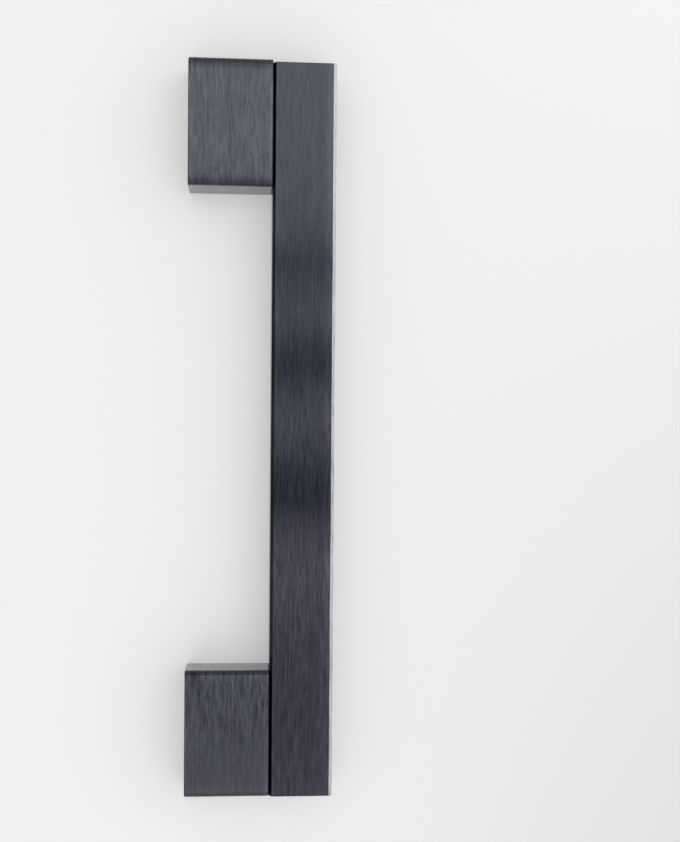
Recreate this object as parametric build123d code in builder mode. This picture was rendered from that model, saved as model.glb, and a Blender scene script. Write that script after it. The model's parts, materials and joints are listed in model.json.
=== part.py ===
from build123d import *
from math import radians, tan
import os

# Door pull handle: a straight chamfered bar carried by two block feet.
# The frame is that of the handle fitted level on a door. +X runs along the bar, to the right of
# somebody who faces the door, +Y points into the door and +Z is up. The origin lies on the
# door's face, midway between the two fixing holes. Sizes are in millimetres.

# Handle as a whole
fixing_spacing = 192.0
section_width = 16.0

# Feet, blocks cut from flat bar with rounded corners
foot_length = 40.0
foot_reach = 26.5
foot_corner_radius = 2.0
foot_edge_break = 0.25

# Bar, cut square to length and chamfered along its four long edges
bar_thickness = 20.0
bar_chamfer = 1.0
bar_edge_break = 0.2
right_foot_overhang = 1.1
left_foot_overhang = 0.2

# Fixing hole, tapped for an M4 machine screw that comes through the door
fixing_hole_radius = 1.65
fixing_hole_depth = 15.0
fixing_mouth_radius = 2.0
fixing_mouth_angle = 90.0
drill_point_angle = 118.0

# Socket head cap screws, M4 by 30, that hold each foot to the bar
screw_offset = 12.0
screw_radius = 1.95
screw_length = 30.0
screw_head_radius = 3.5
screw_head_height = 4.0
screw_head_chamfer = 0.4
screw_tip_chamfer = 0.6
socket_across_flats = 3.0
socket_depth = 2.0

# Holes for those screws, clear through the foot and tapped in the back of the bar
clearance_radius = 2.15
counterbore_radius = 4.0
counterbore_depth = 5.5
tapped_radius = 2.0
tapped_depth = 12.0

foot_centres = {"right_foot": fixing_spacing / 2, "left_foot": -fixing_spacing / 2}
outward_sides = {"right_foot": 1, "left_foot": -1}
feet_end = (fixing_spacing + foot_length) / 2
bar_left_end = -feet_end + left_foot_overhang
bar_right_end = feet_end - right_foot_overhang
bar_middle = -(foot_reach + bar_thickness / 2)


def door_side_plane(x, y):
    """Plane through (x, y, 0) that faces the door: drills and screws go in against its normal."""
    return Plane(origin=(x, y, 0), x_dir=(1, 0, 0), z_dir=(0, 1, 0))


def drilled_space(radius, depth):
    """Space that a drill leaves below its mouth at the origin, down to its conical point."""
    point_height = radius / tan(radians(drill_point_angle / 2))
    with BuildPart() as space:
        with BuildSketch(Plane.XZ):
            with BuildLine():
                Polyline(
                    (0, 0), (radius, 0), (radius, -depth), (0, -depth - point_height), close=True
                )
            make_face()
        revolve(axis=Axis.Z)
    return space.part


os.makedirs("parts", exist_ok=True)

# Grip bar
with BuildPart() as grip_bar:
    with BuildSketch(Plane.YZ.offset(bar_left_end)):
        with Locations((bar_middle, 0)):
            Rectangle(bar_thickness, section_width)
    extrude(amount=bar_right_end - bar_left_end)
    chamfer(grip_bar.edges().filter_by(Axis.X), length=bar_chamfer)
    sawn_ends = grip_bar.faces().filter_by(Axis.X)
    chamfer(sawn_ends.edges(), length=bar_edge_break)
    for foot_x in foot_centres.values():
        with Locations(door_side_plane(foot_x, -foot_reach)):
            with GridLocations(2 * screw_offset, 0, 2, 1):
                add(drilled_space(tapped_radius, tapped_depth), mode=Mode.SUBTRACT)
grip_bar.part.label = "grip_bar"
export_step(grip_bar.part, "parts/grip_bar.step")

# Feet, one at each end
for foot_name, foot_x in foot_centres.items():
    with BuildPart() as foot:
        with BuildSketch(door_side_plane(foot_x, 0)):
            RectangleRounded(foot_length, section_width, foot_corner_radius)
        extrude(amount=-foot_reach)
        sawn_faces = foot.faces().filter_by(Axis.Y)
        chamfer(sawn_faces.edges(), length=foot_edge_break)
        with Locations(door_side_plane(foot_x, 0)):
            with GridLocations(2 * screw_offset, 0, 2, 1):
                CounterBoreHole(clearance_radius, counterbore_radius, counterbore_depth)
            add(drilled_space(fixing_hole_radius, fixing_hole_depth), mode=Mode.SUBTRACT)
            CounterSinkHole(
                fixing_hole_radius, fixing_mouth_radius, fixing_hole_depth, fixing_mouth_angle
            )
    foot.part.label = foot_name
    export_step(foot.part, f"parts/{foot_name}.step")

# Screws from each foot into the bar, heads sunk in the foot's counterbores
head_seat = -counterbore_depth
for foot_name, foot_x in foot_centres.items():
    for place, side in (("outer", 1), ("inner", -1)):
        screw_x = foot_x + side * outward_sides[foot_name] * screw_offset
        with BuildPart() as screw:
            with BuildSketch(door_side_plane(screw_x, head_seat)):
                Circle(screw_head_radius)
            extrude(amount=screw_head_height)
            chamfer(screw.edges().group_by(Axis.Y)[-1], length=screw_head_chamfer)
            with BuildSketch(door_side_plane(screw_x, head_seat)):
                Circle(screw_radius)
            extrude(amount=-screw_length)
            chamfer(screw.edges().group_by(Axis.Y)[0], length=screw_tip_chamfer)
            with BuildSketch(door_side_plane(screw_x, head_seat + screw_head_height)):
                RegularPolygon(socket_across_flats / 2, 6, major_radius=False)
            extrude(amount=-socket_depth, mode=Mode.SUBTRACT)
        screw.part.label = f"{foot_name}_{place}_screw"
        export_step(screw.part, f"parts/{foot_name}_{place}_screw.step")
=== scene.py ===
import json
import math

import bmesh
import bpy
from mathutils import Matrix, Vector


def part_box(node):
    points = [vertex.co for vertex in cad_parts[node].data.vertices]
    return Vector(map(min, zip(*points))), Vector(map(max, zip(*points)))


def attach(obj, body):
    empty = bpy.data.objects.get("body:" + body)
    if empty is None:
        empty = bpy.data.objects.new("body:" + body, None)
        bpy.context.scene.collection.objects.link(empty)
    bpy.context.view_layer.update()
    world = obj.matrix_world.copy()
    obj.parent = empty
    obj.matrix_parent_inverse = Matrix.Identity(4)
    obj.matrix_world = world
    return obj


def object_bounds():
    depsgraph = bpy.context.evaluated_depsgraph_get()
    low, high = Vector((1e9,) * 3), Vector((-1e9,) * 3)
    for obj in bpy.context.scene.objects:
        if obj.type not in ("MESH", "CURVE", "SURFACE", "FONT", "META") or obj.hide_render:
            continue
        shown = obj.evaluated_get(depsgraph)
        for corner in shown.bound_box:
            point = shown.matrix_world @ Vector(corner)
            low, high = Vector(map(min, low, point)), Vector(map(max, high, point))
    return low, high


# Door pull handle on a pale table, seen from straight above.
# The frame is the handle's own: +X along the bar, +Y into the door, +Z up when it is fitted.
# Here it lies on its side, so +Z points at the camera and +X to the top of the picture.
# Lengths are in metres, and colours and levels of light are linear.

MM = 0.001

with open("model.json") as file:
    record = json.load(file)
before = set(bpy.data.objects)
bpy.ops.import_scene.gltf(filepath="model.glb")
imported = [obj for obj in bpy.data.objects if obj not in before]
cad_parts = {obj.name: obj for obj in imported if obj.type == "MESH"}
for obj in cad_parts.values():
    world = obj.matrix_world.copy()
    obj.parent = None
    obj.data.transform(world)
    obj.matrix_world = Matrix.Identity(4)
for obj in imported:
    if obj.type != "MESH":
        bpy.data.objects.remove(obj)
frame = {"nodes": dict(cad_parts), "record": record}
cad_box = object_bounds()

# Camera. It is turned sideways a little, and its lens is shifted up, to frame the handle.
CAMERA_PLACE = (-5.32 * MM, -17.749 * MM, 402 * MM)
CAMERA_TURN = (math.radians(-0.7264), math.radians(-4.427), math.radians(-89.5571))
CAMERA_LENS_MM = 53.618
CAMERA_SHIFT_UP = 0.0482
CAMERA_CLIP_START = 10 * MM
SENSOR_MM = 36.0

# Light from the room, by the X and Y parts of the direction that it comes from.
# Its level is a curve along X, which fades to a constant level towards both ends.
SKY_MIDDLE = 1.034
SKY_SLOPE = 0.974
SKY_CURVE = 3.6
SKY_TOP_END = {"start": 0.28, "full": 0.38, "level": 0.74}
SKY_LOW_END = {"start": 0.245, "full": 0.335, "level": 0.98}

# Bands across the room, dark where their depth is positive. The bar's top mirrors them.
SKY_BANDS = (
    {"place": 0.1425, "width": 0.015, "depth": 0.66},
    {"place": 0.0675, "width": 0.02, "depth": 0.75},
    {"place": -0.0345, "width": 0.029, "depth": 0.73},
    {"place": -0.0975, "width": 0.024, "depth": -0.14},
    {"place": -0.21, "width": 0.075, "depth": 0.32},
)

# Dimming of the room to the left, which is +Y. Its levels are those at the low and top ends.
SKY_LEFT_FADE = (0.1, 0.85)
SKY_LEFT_CHANGE = (-0.4, 0.3)
SKY_LEFT_LEVELS = (0.5, 0.38)

# Colours of the room, and of the backdrop that only the camera sees
SKY_TOP_COLOUR = (0.95, 1.0, 0.985, 1)
SKY_LOW_COLOUR = (1.0, 1.0, 1.0, 1)
SKY_COLOUR_CHANGE = (-0.175, 0.175)
SKY_BAND_COLOUR = (0.9, 0.98, 1.3, 1)
BACKDROP_COLOUR = (0.888, 0.886, 0.884, 1)

# Table. Its plain colour lights the handle, and the camera sees its shaded colour and a glow.
# Near the handle the glow falls off towards the picture's lower right.
TABLE_HALF_SIZE = 3.0
TABLE_GAP = 0.02 * MM
TABLE_COLOUR = (0.84, 0.84, 0.85, 1)
TABLE_SHADED_COLOUR = (0.765, 0.739, 0.732, 1)
TABLE_GLOW = 0.3
TABLE_GLOW_SLOPE = 0.35
TABLE_GLOW_TWIST = 3.9
TABLE_GLOW_START = -0.03
TABLE_GLOW_REACH = 0.14
TABLE_GLOW_FADE = (0.21, 0.5)

# Brushed finishes of the bar and the feet.
# A grain scale is the number of streaks in a metre along X, Y and Z. On the sawn faces, which
# are square to the end axis, the end grain scale takes its place. The grain's contrast goes
# from its first number at the handle's low end to its second at the top, and next to the low
# end it is multiplied by the low end gain. The rims, painted lighter near the edges as a
# painted sheen, lie along the front (first number) and the back of a piece. The crown curves
# say how much the faces bend near a foot's outer end (first number) and its inner end.
BAR_LOOK = {
    "colour": (0.0605, 0.0614, 0.0765, 1),
    "second_colour": (0.0625, 0.0635, 0.0765, 1),
    "worn_and_highlight_colour": (0.13, 0.134, 0.15, 1),
    # Painted light on the front chamfers, a painted highlight, and painted shade on the back
    # chamfers
    "front_chamfer_painted_light": (0.6, 0.6, 0.63, 1),
    "back_chamfer_painted_shade": (0.03, 0.031, 0.037, 1),
    "grain_scale": (125, 1900, 1900),
    "end_axis": (1, 0, 0),
    "end_grain_scale": (150, 150, 2600),
    "along_grain": (1, 0.002, 0.001),
    "highlight_turn": 0.25,
    "grain_contrast": (2.5, 1.05),
    "low_end_gain": 1.0,
    "tone_contrast": 0.25,
    "roughness": 0.115,
    "roughness_spread": 0.08,
    "anisotropy": 0.95,
    "grain_height": 0.008 * MM,
    "rim_inset": 1.0 * MM,
    "rim_reach": (4.0 * MM, 0.6 * MM),
    "rim_gain": (0.35, 0.25),
    "crown_curves": (0.0, 0.0),
}
FOOT_LOOK = {
    "colour": (0.0865, 0.0878, 0.1085, 1),
    "second_colour": (0.0895, 0.091, 0.109, 1),
    "worn_and_highlight_colour": (0.15, 0.155, 0.175, 1),
    # Painted tones on the chamfers: painted light at the front and painted shade at the back
    "front_chamfer_painted_light": (0.083, 0.086, 0.105, 1),
    "back_chamfer_painted_shade": (0.07, 0.073, 0.085, 1),
    "grain_scale": (170, 1500, 200),
    "end_axis": (0, 1, 0),
    "end_grain_scale": (150, 150, 2600),
    "along_grain": (0.001, 1, 0.002),
    "highlight_turn": 0.0,
    "grain_contrast": (3.4, 1.9),
    "low_end_gain": 0.3,
    "tone_contrast": 0.25,
    "roughness": 0.26,
    "roughness_spread": 0.14,
    "anisotropy": 0.9,
    "grain_height": 0.011 * MM,
    "rim_inset": 0.0,
    "rim_reach": (2.6 * MM, 2.2 * MM),
    "rim_gain": (0.25, 0.15),
    "crown_curves": (26.0, 17.0),
}

# Grain, tone and speckle. Pairs give where a change along X or on a noise starts and ends.
GRAIN_DETAIL = 4.0
GRAIN_ROUGHNESS = 0.7
GRAIN_CHANGE = (-40 * MM, 100 * MM)
LOW_END_CHANGE = (-106 * MM, -85 * MM)
DARKEST_STREAK = 0.2
TONE_SCALE = (14, 420, 420)
TINT_SCALE = 3.1
TINT_CHANGE = (0.4, 0.6)
SPECKLE_SCALE = 1500
SPECKLE_CONTRAST = 0.4

# Sawn faces, chamfers, roundings and walls, told apart by how far they turn to an axis
END_TURN = (0.75, 0.85)
CHAMFER_TURN = 1.35
ROUNDING_TURN = (0.01, 0.45)
# The roundings are darkened as painted shade, and the walls brightened as a painted reflection
ROUNDING_PAINTED_SHADE = 0.62
WALL_TURN = (0.9, 0.97)
WALL_PAINTED_REFLECTION = 0.6
WALL_SMOOTHING = 0.5

# Distance from a foot's middle at which its faces begin to bend
CROWN_START = 15.8 * MM

# Wear: edges rubbed in patches, which also stand in as painted edge highlights, and a few nicks
WEAR_RADIUS = 0.25 * MM
WEAR_SAMPLES = 6
WEAR_TURN = (0.02, 0.2)
WEAR_PATCHES = (0.3, 0.7)
NICK_SCALE = 260
NICK_SIZE = (0.055, 0.03)
NICK_LIMIT = 0.62

# Zinc plated screws, with turning marks and blotches
STEEL_COLOUR = (0.34, 0.345, 0.33, 1)
STEEL_SECOND_COLOUR = (0.24, 0.235, 0.21, 1)
STEEL_ROUGHNESS = 0.34
STEEL_ROUGHNESS_SPREAD = 0.16
BLOTCH_SCALE = 900
BLOTCH_CHANGE = (0.35, 0.7)
MARK_SCALE = 5200
MARK_CONTRAST = 0.5
MARK_HEIGHT = 0.004 * MM

# Bare metal of the cut threads, with torn and oily patches
THREAD_COLOUR = (0.42, 0.42, 0.43, 1)
THREAD_ROUGHNESS = 0.2
THREAD_ROUGHNESS_SPREAD = 0.3
TEAR_SCALE = 3800
TEAR_CONTRAST = 0.6
TEAR_HEIGHT = 0.01 * MM
OIL_SCALE = 420
OIL_CHANGE = (0.4, 0.7)

# Thread of the fixing holes
THREAD_PITCH = 0.7 * MM
THREAD_HEIGHT = 0.14 * MM
THREAD_HALF_BASE = 0.42 * THREAD_PITCH
THREAD_SINK = 0.03 * MM
THREAD_START = 0.4 * MM
THREAD_DEPTH = 13.5 * MM
THREAD_STEPS = 28
THREAD_TIP_STEPS = 3

# Knurl of the screws' heads
KNURL_RIBS = 36
KNURL_RIB_SHARE = 0.8
KNURL_HEIGHT = 0.12 * MM
KNURL_SINK = 0.03 * MM
KNURL_TAPER = 0.3 * MM
HEAD_HEIGHT = 4.0 * MM
HEAD_CHAMFER = 0.4 * MM

# Fixing holes and screws, as the frame has them
mounts = {mount["name"]: mount for mount in frame["record"]["mounts"]}
fixing_mount = mounts["right_fixing_hole"]
fixing_x = fixing_mount["pos_m"][0]
fixing_radius = fixing_mount["dims"]["r_mm"] * MM
outer_low, outer_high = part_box("right_foot_outer_screw")
screw_offset = (outer_low.x + outer_high.x) / 2 - fixing_x

# Places of a mix node's two values and its result, by the kind of value
MIX_SOCKETS = {"RGBA": (6, 7, 2), "VECTOR": (4, 5, 1)}


class Nodes:
    """Adds nodes to a node tree and joins them, so that a shader reads as a few lines."""

    def __init__(self, tree):
        self.tree = tree
        tree.nodes.clear()

    def feed(self, socket, value):
        if isinstance(value, bpy.types.NodeSocket):
            self.tree.links.new(value, socket)
        else:
            socket.default_value = value

    def add(self, kind, inputs=None, **settings):
        node = self.tree.nodes.new(kind)
        for name, value in settings.items():
            setattr(node, name, value)
        for name, value in (inputs or {}).items():
            self.feed(node.inputs[name], value)
        return node

    def math(self, operation, *values):
        node = self.add("ShaderNodeMath", operation=operation)
        for socket, value in zip(node.inputs, values):
            self.feed(socket, value)
        return node.outputs[0]

    def vector(self, operation, *values):
        node = self.add("ShaderNodeVectorMath", operation=operation)
        for socket, value in zip(node.inputs, values):
            self.feed(socket, value)
        return node.outputs[0]

    def dot(self, first, second):
        node = self.vector("DOT_PRODUCT", first, second).node
        return node.outputs["Value"]

    def times(self, vector, number):
        inputs = {"Vector": vector, "Scale": number}
        return self.add("ShaderNodeVectorMath", inputs, operation="SCALE").outputs[0]

    def parts(self, vector):
        return self.add("ShaderNodeSeparateXYZ", {"Vector": vector}).outputs

    def joined(self, **parts):
        return self.add("ShaderNodeCombineXYZ", parts).outputs[0]

    def object_place(self):
        """Where on the object a point lies, in metres along the object's axes."""
        return self.add("ShaderNodeTexCoord").outputs["Object"]

    def step(self, value, start, end, low=0.0, high=1.0):
        """Goes smoothly from low to high while value goes from start to end."""
        ends = {"Value": value, "From Min": start, "From Max": end, "To Min": low, "To Max": high}
        return self.add("ShaderNodeMapRange", ends, interpolation_type="SMOOTHSTEP").outputs[0]

    def mix(self, share, first, second, kind="RGBA"):
        """First where share is 0, second where it is 1."""
        first_socket, second_socket, result = MIX_SOCKETS[kind]
        node = self.add("ShaderNodeMix", data_type=kind)
        self.feed(node.inputs[0], share)
        self.feed(node.inputs[first_socket], first)
        self.feed(node.inputs[second_socket], second)
        return node.outputs[result]

    def mix_shaders(self, share, first, second):
        node = self.add("ShaderNodeMixShader")
        for socket, value in zip(node.inputs, (share, first, second)):
            self.feed(socket, value)
        return node.outputs[0]

    def noise(self, place, scale, detail=3.0, roughness=0.6):
        inputs = {"Vector": place, "Scale": scale, "Detail": detail, "Roughness": roughness}
        return self.add("ShaderNodeTexNoise", inputs).outputs[0]

    def around_one(self, value, contrast):
        """1 where value is a half, and contrast times its difference from a half elsewhere."""
        return self.math("MULTIPLY_ADD", self.math("SUBTRACT", value, 0.5), contrast, 1.0)

    def metal(self, inputs):
        """Ends the tree with a metal surface."""
        shader = self.add("ShaderNodeBsdfPrincipled", {"Metallic": 1.0, **inputs}).outputs[0]
        self.add("ShaderNodeOutputMaterial", {"Surface": shader})


def new_material(name):
    """Empty material, and the tools to fill its node tree."""
    material = bpy.data.materials.new(name)
    material.use_nodes = True
    return material, Nodes(material.node_tree)


def wear_and_edge_highlights(nodes, facing, patches):
    """How worn each place is, partly a painted edge highlight, from 0 on the faces to 1 on the
    edges, and the softened normal.
    """
    bevel = nodes.add("ShaderNodeBevel", {"Radius": WEAR_RADIUS}, samples=WEAR_SAMPLES)
    softened = bevel.outputs[0]
    turn = nodes.math("SUBTRACT", 1.0, nodes.dot(softened, facing))
    edge = nodes.step(turn, *WEAR_TURN)
    return nodes.math("MULTIPLY", edge, nodes.step(patches, *WEAR_PATCHES)), softened


def nicks(nodes, place):
    """1 in a few tiny dents, and 0 elsewhere."""
    settings = {"Vector": place, "Scale": NICK_SCALE}
    spots = nodes.add("ShaderNodeTexVoronoi", settings, feature="F1")
    number = nodes.parts(spots.outputs["Color"])[0]
    chosen = nodes.math("GREATER_THAN", number, NICK_LIMIT)
    return nodes.math("MULTIPLY", chosen, nodes.step(spots.outputs["Distance"], *NICK_SIZE))


def chamfers_with_painted_light(nodes, facing, colour, look):
    """Colour with painted light on the chamfers along the front, on the bar a painted highlight,
    and painted shade on those along the back.
    """
    depth, height = nodes.parts(facing)[1:]
    upright = nodes.math("ABSOLUTE", height)
    front = nodes.math("GREATER_THAN", nodes.math("SUBTRACT", upright, depth), CHAMFER_TURN)
    back = nodes.math("GREATER_THAN", nodes.math("ADD", upright, depth), CHAMFER_TURN)
    colour = nodes.mix(front, colour, look["front_chamfer_painted_light"])
    return nodes.mix(back, colour, look["back_chamfer_painted_shade"])


def painted_rim_sheen(nodes, y, box, look):
    """1 in the middle of a piece, and more near its front and back edges, as a painted sheen."""
    low, high = box
    from_front = nodes.math("SUBTRACT", y, low.y + look["rim_inset"])
    from_back = nodes.math("SUBTRACT", high.y - look["rim_inset"], y)
    front = nodes.step(from_front, 0.0, look["rim_reach"][0], look["rim_gain"][0], 0.0)
    back = nodes.step(from_back, 0.0, look["rim_reach"][1], look["rim_gain"][1], 0.0)
    return nodes.math("ADD", nodes.math("ADD", front, back), 1.0)


def streak_gain(nodes, x, grain, look):
    """Tone of the brush marks, which get fainter towards the top and at the very low end."""
    grain_contrast = nodes.step(x, *GRAIN_CHANGE, *look["grain_contrast"])
    low_end = nodes.step(x, *LOW_END_CHANGE, look["low_end_gain"], 1.0)
    streaks = nodes.around_one(grain, nodes.math("MULTIPLY", grain_contrast, low_end))
    return nodes.math("MAXIMUM", streaks, DARKEST_STREAK)


def crown_height(nodes, x, look):
    """How much lower the brushing left a foot's faces towards its outer and inner ends."""
    outward = nodes.math("SUBTRACT", nodes.math("ABSOLUTE", x), fixing_x)
    from_middle = nodes.math("ABSOLUTE", outward)
    reach = nodes.math("MAXIMUM", nodes.math("SUBTRACT", from_middle, CROWN_START), 0.0)
    outer_curve, inner_curve = look["crown_curves"]
    outer = nodes.math("GREATER_THAN", outward, 0.0)
    curve = nodes.math("MULTIPLY_ADD", outer, outer_curve - inner_curve, inner_curve)
    square = nodes.math("MULTIPLY", reach, reach)
    return nodes.math("MULTIPLY", nodes.math("MULTIPLY", square, curve), -0.5)


def brushed_metal(name, look, box):
    """Dark anodised aluminium with brush marks, uneven tone, worn edges, nicks, and painted light
    and shade.
    """
    material, nodes = new_material(name)
    place = nodes.object_place()
    x, y = nodes.parts(place)[:2]
    geometry = nodes.add("ShaderNodeNewGeometry")
    facing = geometry.outputs["True Normal"]

    # Brush marks, which run another way on the sawn faces
    end_share = nodes.math("ABSOLUTE", nodes.dot(facing, look["end_axis"]))
    end_share = nodes.step(end_share, *END_TURN)
    scale = nodes.mix(end_share, look["grain_scale"], look["end_grain_scale"], "VECTOR")
    grain_place = nodes.vector("MULTIPLY", place, scale)
    grain = nodes.noise(grain_place, 1.0, GRAIN_DETAIL, GRAIN_ROUGHNESS)

    # Slow changes of tone and tint
    tone_place = nodes.vector("MULTIPLY", place, TONE_SCALE)
    tone = nodes.noise(tone_place, 1.0, detail=2.0)
    tint = nodes.noise(tone_place, TINT_SCALE, detail=2.0)
    colour = nodes.mix(nodes.step(tint, *TINT_CHANGE), look["colour"], look["second_colour"])
    # Painted sheen near the front and back rims
    colour = nodes.times(colour, painted_rim_sheen(nodes, y, box, look))
    # Painted light and painted shade on the chamfers
    colour = chamfers_with_painted_light(nodes, facing, colour, look)
    colour = nodes.times(colour, streak_gain(nodes, x, grain, look))
    colour = nodes.times(colour, nodes.around_one(tone, look["tone_contrast"]))
    speckle = nodes.noise(place, SPECKLE_SCALE, detail=2.0)
    colour = nodes.times(colour, nodes.around_one(speckle, SPECKLE_CONTRAST))

    # Roundings darkened as painted shade, and walls at both ends in X brightened as a painted
    # reflection and made smoother
    sideways = nodes.math("ABSOLUTE", nodes.dot(geometry.outputs["Normal"], (1, 0, 0)))
    colour = nodes.times(colour, nodes.step(sideways, *ROUNDING_TURN, 1.0, ROUNDING_PAINTED_SHADE))
    wall = nodes.step(sideways, *WALL_TURN)
    wall_painted_gain = (1 + WALL_PAINTED_REFLECTION) / ROUNDING_PAINTED_SHADE - 1
    colour = nodes.times(colour, nodes.math("MULTIPLY_ADD", wall, wall_painted_gain, 1.0))
    spread = nodes.math("SUBTRACT", grain, 0.5)
    roughness = nodes.math("MULTIPLY_ADD", spread, look["roughness_spread"], look["roughness"])
    smoothing = nodes.math("MULTIPLY_ADD", wall, -WALL_SMOOTHING, 1.0)
    roughness = nodes.math("MULTIPLY", roughness, smoothing)

    # Wear, partly painted edge highlights, and the marks' depth on the crowned faces
    worn, softened = wear_and_edge_highlights(nodes, facing, tint)
    bare = nodes.math("MAXIMUM", worn, nicks(nodes, place))
    colour = nodes.mix(bare, colour, look["worn_and_highlight_colour"])
    crown = crown_height(nodes, x, look)
    height = nodes.math("MULTIPLY_ADD", grain, look["grain_height"], crown)
    bump_inputs = {"Distance": 1.0, "Height": height, "Normal": softened}
    bump = nodes.add("ShaderNodeBump", bump_inputs).outputs[0]

    nodes.metal({
        "Base Color": colour,
        "Roughness": roughness,
        "Normal": bump,
        "Tangent": nodes.joined(**dict(zip("XYZ", look["along_grain"]))),
        "Anisotropic": look["anisotropy"],
        "Anisotropic Rotation": look["highlight_turn"],
    })
    return material


def screw_steel(name):
    """Zinc plated steel with turning marks round the nearest screw's axis."""
    material, nodes = new_material(name)
    place = nodes.object_place()
    facing = nodes.add("ShaderNodeNewGeometry").outputs["True Normal"]
    x, y, z = nodes.parts(place)
    from_middle = nodes.math("SUBTRACT", nodes.math("ABSOLUTE", x), fixing_x)
    from_screw = nodes.math("SUBTRACT", nodes.math("ABSOLUTE", from_middle), screw_offset)
    across_square = nodes.math("MULTIPLY", from_screw, from_screw)
    up_square = nodes.math("MULTIPLY", z, z)
    radius = nodes.math("SQRT", nodes.math("ADD", across_square, up_square))
    marks = nodes.noise(nodes.joined(X=radius, Y=y), MARK_SCALE, detail=1.0)
    blotches = nodes.noise(place, BLOTCH_SCALE)
    worn, softened = wear_and_edge_highlights(nodes, facing, blotches)
    second_share = nodes.step(blotches, *BLOTCH_CHANGE)
    colour = nodes.mix(second_share, STEEL_COLOUR, STEEL_SECOND_COLOUR)
    colour = nodes.times(colour, nodes.around_one(marks, MARK_CONTRAST))
    colour = nodes.mix(worn, colour, THREAD_COLOUR)
    least_roughness = STEEL_ROUGHNESS - STEEL_ROUGHNESS_SPREAD / 2
    roughness = nodes.math("MULTIPLY_ADD", blotches, STEEL_ROUGHNESS_SPREAD, least_roughness)
    bump_inputs = {"Distance": MARK_HEIGHT, "Height": marks, "Normal": softened}
    bump = nodes.add("ShaderNodeBump", bump_inputs).outputs[0]
    nodes.metal({"Base Color": colour, "Roughness": roughness, "Normal": bump})
    return material


def cut_thread_metal(name):
    """Bare aluminium of a cut thread, with torn patches and a little cutting oil left on it."""
    material, nodes = new_material(name)
    place = nodes.object_place()
    torn = nodes.noise(place, TEAR_SCALE, detail=4.0)
    oily = nodes.noise(place, OIL_SCALE, detail=2.0)
    colour = nodes.mix(nodes.step(oily, *OIL_CHANGE), THREAD_COLOUR, STEEL_SECOND_COLOUR)
    colour = nodes.times(colour, nodes.around_one(torn, TEAR_CONTRAST))
    roughness = nodes.math("MULTIPLY_ADD", torn, THREAD_ROUGHNESS_SPREAD, THREAD_ROUGHNESS)
    bump_inputs = {"Distance": TEAR_HEIGHT, "Height": torn}
    bump = nodes.add("ShaderNodeBump", bump_inputs).outputs[0]
    nodes.metal({"Base Color": colour, "Roughness": roughness, "Normal": bump})
    return material


def dress(node_name, material):
    """Gives a CAD node its material in every slot."""
    node = frame["nodes"][node_name]
    if not node.material_slots:
        node.data.materials.append(material)
    for slot in node.material_slots:
        slot.link = "OBJECT"
        slot.material = material


def add_piece(name, points, faces, material):
    """Makes a mesh piece that is fixed to the handle."""
    mesh = bpy.data.meshes.new(name)
    mesh.from_pydata(points, [], faces)
    work = bmesh.new()
    work.from_mesh(mesh)
    bmesh.ops.recalc_face_normals(work, faces=work.faces)
    work.to_mesh(mesh)
    work.free()
    mesh.materials.append(material)
    piece = bpy.data.objects.new(name, mesh)
    bpy.context.scene.collection.objects.link(piece)
    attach(piece, "root")


def ridge_faces(first, count):
    """Faces round a ridge of triangular section: count rings of three points, from first on."""
    faces = []
    for ring in range(count - 1):
        a = first + 3 * ring
        b = a + 3
        faces += [(a, a + 1, b + 1, b), (a + 1, a + 2, b + 2, b + 1), (a + 2, a, b, b + 2)]
    last = first + 3 * (count - 1)
    faces += [(first, first + 2, first + 1), (last, last + 1, last + 2)]
    return faces


def thread_ridge(name, centre_x, material):
    """Helical crest of the thread in a fixing hole, run out to a small tip at both its ends."""
    turns = (THREAD_DEPTH - THREAD_START) / THREAD_PITCH
    steps = round(turns * THREAD_STEPS)
    base = fixing_radius + THREAD_SINK
    points = []
    for i in range(steps + 1):
        angle = 2 * math.pi * i / THREAD_STEPS
        y = -THREAD_START - THREAD_PITCH * i / THREAD_STEPS
        from_end = min(i, steps - i) + THREAD_TIP_STEPS
        run_out = min(1.0, from_end / THREAD_STEPS)
        crest = fixing_radius - run_out * THREAD_HEIGHT
        for radius, shift in ((base, THREAD_HALF_BASE), (crest, 0.0), (base, -THREAD_HALF_BASE)):
            points.append((
                centre_x + radius * math.cos(angle), y + shift * run_out, radius * math.sin(angle)
            ))
    add_piece(name, points, ridge_faces(0, steps + 1), material)


def head_knurl(name, screw_name, material):
    """Straight ribs round the side of a cap screw's head."""
    low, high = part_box(screw_name)
    centre_x = (low.x + high.x) / 2
    head_radius = (high.x - low.x) / 2
    base = head_radius - KNURL_SINK
    top = high.y - HEAD_CHAMFER
    bottom = high.y - HEAD_HEIGHT + HEAD_CHAMFER / 2
    rings = ((bottom, 0.0), (bottom + KNURL_TAPER, 1.0), (top - KNURL_TAPER, 1.0), (top, 0.0))
    half_angle = math.pi / KNURL_RIBS * KNURL_RIB_SHARE
    points = []
    faces = []
    for i in range(KNURL_RIBS):
        middle = 2 * math.pi * i / KNURL_RIBS
        faces += ridge_faces(len(points), len(rings))
        for y, ridge in rings:
            crest = head_radius + ridge * KNURL_HEIGHT - (1 - ridge) * KNURL_SINK / 2
            for angle, radius in ((-half_angle, base), (0.0, crest), (half_angle, base)):
                direction = middle + angle
                points.append((
                    centre_x + radius * math.cos(direction), y, radius * math.sin(direction)
                ))
    add_piece(name, points, faces, material)


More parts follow.
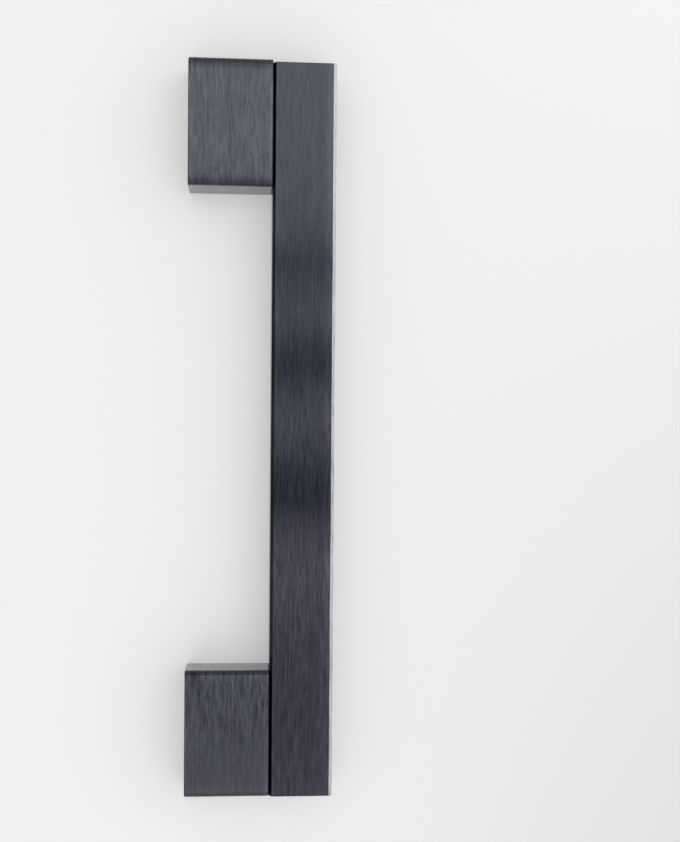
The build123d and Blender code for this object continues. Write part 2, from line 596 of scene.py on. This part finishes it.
def sky_curve(nodes, x):
    """The room's level along X, constant towards both ends."""
    slope = nodes.math("MULTIPLY_ADD", x, SKY_CURVE, SKY_SLOPE)
    level = nodes.math("MULTIPLY_ADD", slope, x, SKY_MIDDLE)
    for end, side in ((SKY_TOP_END, 1), (SKY_LOW_END, -1)):
        share = nodes.step(nodes.math("MULTIPLY", x, side), end["start"], end["full"])
        middle_share = nodes.math("SUBTRACT", 1.0, share)
        level = nodes.math("MULTIPLY", level, middle_share)
        level = nodes.math("MULTIPLY_ADD", share, end["level"], level)
    return level


def sky_bands(nodes, x):
    """Gain of the bands across the room: 1 between them, and less in the dark ones."""
    bright = 1.0
    for band in SKY_BANDS:
        reach = nodes.math("DIVIDE", nodes.math("SUBTRACT", x, band["place"]), band["width"])
        square = nodes.math("MULTIPLY", reach, reach)
        fade = nodes.math("EXPONENT", nodes.math("MULTIPLY", square, -1.0))
        shade = nodes.math("MULTIPLY_ADD", fade, -band["depth"], 1.0)
        bright = nodes.math("MULTIPLY", bright, shade)
    return bright


def sky_to_the_left(nodes, x, y):
    """1 to the right of the handle, and less to its left."""
    left_level = nodes.step(x, *SKY_LEFT_CHANGE, *SKY_LEFT_LEVELS)
    left_share = nodes.step(y, *SKY_LEFT_FADE)
    dimming = nodes.math("MULTIPLY", left_share, nodes.math("SUBTRACT", 1.0, left_level))
    return nodes.math("SUBTRACT", 1.0, dimming)


def light_room():
    """World light by direction, and a plain backdrop that only the camera sees."""
    world = bpy.data.worlds.new("room")
    bpy.context.scene.world = world
    world.use_nodes = True
    nodes = Nodes(world.node_tree)
    direction = nodes.add("ShaderNodeTexCoord").outputs["Generated"]
    x, y = nodes.parts(direction)[:2]
    bands = sky_bands(nodes, x)
    level = nodes.math("MULTIPLY", sky_curve(nodes, x), bands)
    level = nodes.math("MULTIPLY", level, sky_to_the_left(nodes, x, y))
    colour = nodes.mix(nodes.step(x, *SKY_COLOUR_CHANGE), SKY_LOW_COLOUR, SKY_TOP_COLOUR)
    colour = nodes.mix(nodes.math("SUBTRACT", 1.0, bands), colour, SKY_BAND_COLOUR)
    room = nodes.add("ShaderNodeBackground", {"Color": colour, "Strength": level}).outputs[0]
    backdrop = nodes.add("ShaderNodeBackground", {"Color": BACKDROP_COLOUR}).outputs[0]
    seen = nodes.add("ShaderNodeLightPath").outputs["Is Camera Ray"]
    shown = nodes.mix_shaders(seen, room, backdrop)
    nodes.add("ShaderNodeOutputWorld", {"Surface": shown})


def table_glow(nodes):
    """How strongly the table glows to the camera, by the place on it."""
    place = nodes.object_place()
    x, y = nodes.parts(place)[:2]
    reach = nodes.math("MAXIMUM", nodes.math("SUBTRACT", TABLE_GLOW_START, y), 0.0)
    reach = nodes.math("MINIMUM", reach, TABLE_GLOW_REACH)
    end = nodes.math("MINIMUM", nodes.math("MAXIMUM", x, -TABLE_GLOW_REACH), TABLE_GLOW_REACH)
    change = nodes.math("MULTIPLY_ADD", end, TABLE_GLOW_TWIST, -TABLE_GLOW_SLOPE)
    distance = nodes.math("SQRT", nodes.dot(place, place))
    change = nodes.math("MULTIPLY", change, nodes.step(distance, *TABLE_GLOW_FADE, 1.0, 0.0))
    return nodes.math("MULTIPLY_ADD", change, reach, TABLE_GLOW)


def table_surface():
    """Pale matt table. Part of its tone is a glow to the camera, so shadows stay soft."""
    material, nodes = new_material("pale_table")
    ray = nodes.add("ShaderNodeLightPath").outputs
    seen = nodes.math("MAXIMUM", ray["Is Camera Ray"], ray["Is Glossy Ray"])
    plain = nodes.add("ShaderNodeBsdfDiffuse", {"Color": TABLE_COLOUR}).outputs[0]
    shaded = nodes.add("ShaderNodeBsdfDiffuse", {"Color": TABLE_SHADED_COLOUR}).outputs[0]
    glow = nodes.add("ShaderNodeEmission", {"Strength": table_glow(nodes)}).outputs[0]
    both = nodes.add("ShaderNodeAddShader")
    nodes.feed(both.inputs[0], shaded)
    nodes.feed(both.inputs[1], glow)
    surface = nodes.mix_shaders(seen, plain, both.outputs[0])
    nodes.add("ShaderNodeOutputMaterial", {"Surface": surface})
    return material


def add_table():
    """Table just under the handle's lower side."""
    height = cad_box[0].z - TABLE_GAP
    sides = ((-1, -1), (1, -1), (1, 1), (-1, 1))
    corners = [(TABLE_HALF_SIZE * x, TABLE_HALF_SIZE * y, height) for x, y in sides]
    mesh = bpy.data.meshes.new("table")
    mesh.from_pydata(corners, [], [(0, 1, 2, 3)])
    mesh.materials.append(table_surface())
    table = bpy.data.objects.new("table", mesh)
    bpy.context.scene.collection.objects.link(table)


def add_camera():
    """Camera that looks down at the handle."""
    camera = bpy.data.cameras.new("camera")
    camera.lens = CAMERA_LENS_MM
    camera.sensor_width = SENSOR_MM
    camera.shift_y = CAMERA_SHIFT_UP
    camera.clip_start = CAMERA_CLIP_START
    holder = bpy.data.objects.new("camera", camera)
    holder.location = CAMERA_PLACE
    holder.rotation_euler = CAMERA_TURN
    bpy.context.scene.collection.objects.link(holder)
    bpy.context.scene.camera = holder


bar_finish = brushed_metal("bar_finish", BAR_LOOK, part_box("grip_bar"))
foot_finish = brushed_metal("foot_finish", FOOT_LOOK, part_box("right_foot"))
steel = screw_steel("screw_steel")
thread_metal = cut_thread_metal("cut_thread")

dress("grip_bar", bar_finish)
for side_name, side in (("right", 1), ("left", -1)):
    dress(f"{side_name}_foot", foot_finish)
    thread_ridge(f"{side_name}_foot_thread", side * fixing_x, thread_metal)
    for place_name in ("outer", "inner"):
        screw_node = f"{side_name}_foot_{place_name}_screw"
        dress(screw_node, steel)
        head_knurl(f"{screw_node}_knurl", screw_node, steel)

light_room()
add_table()
add_camera()
bpy.context.scene.view_settings.view_transform = "Standard"
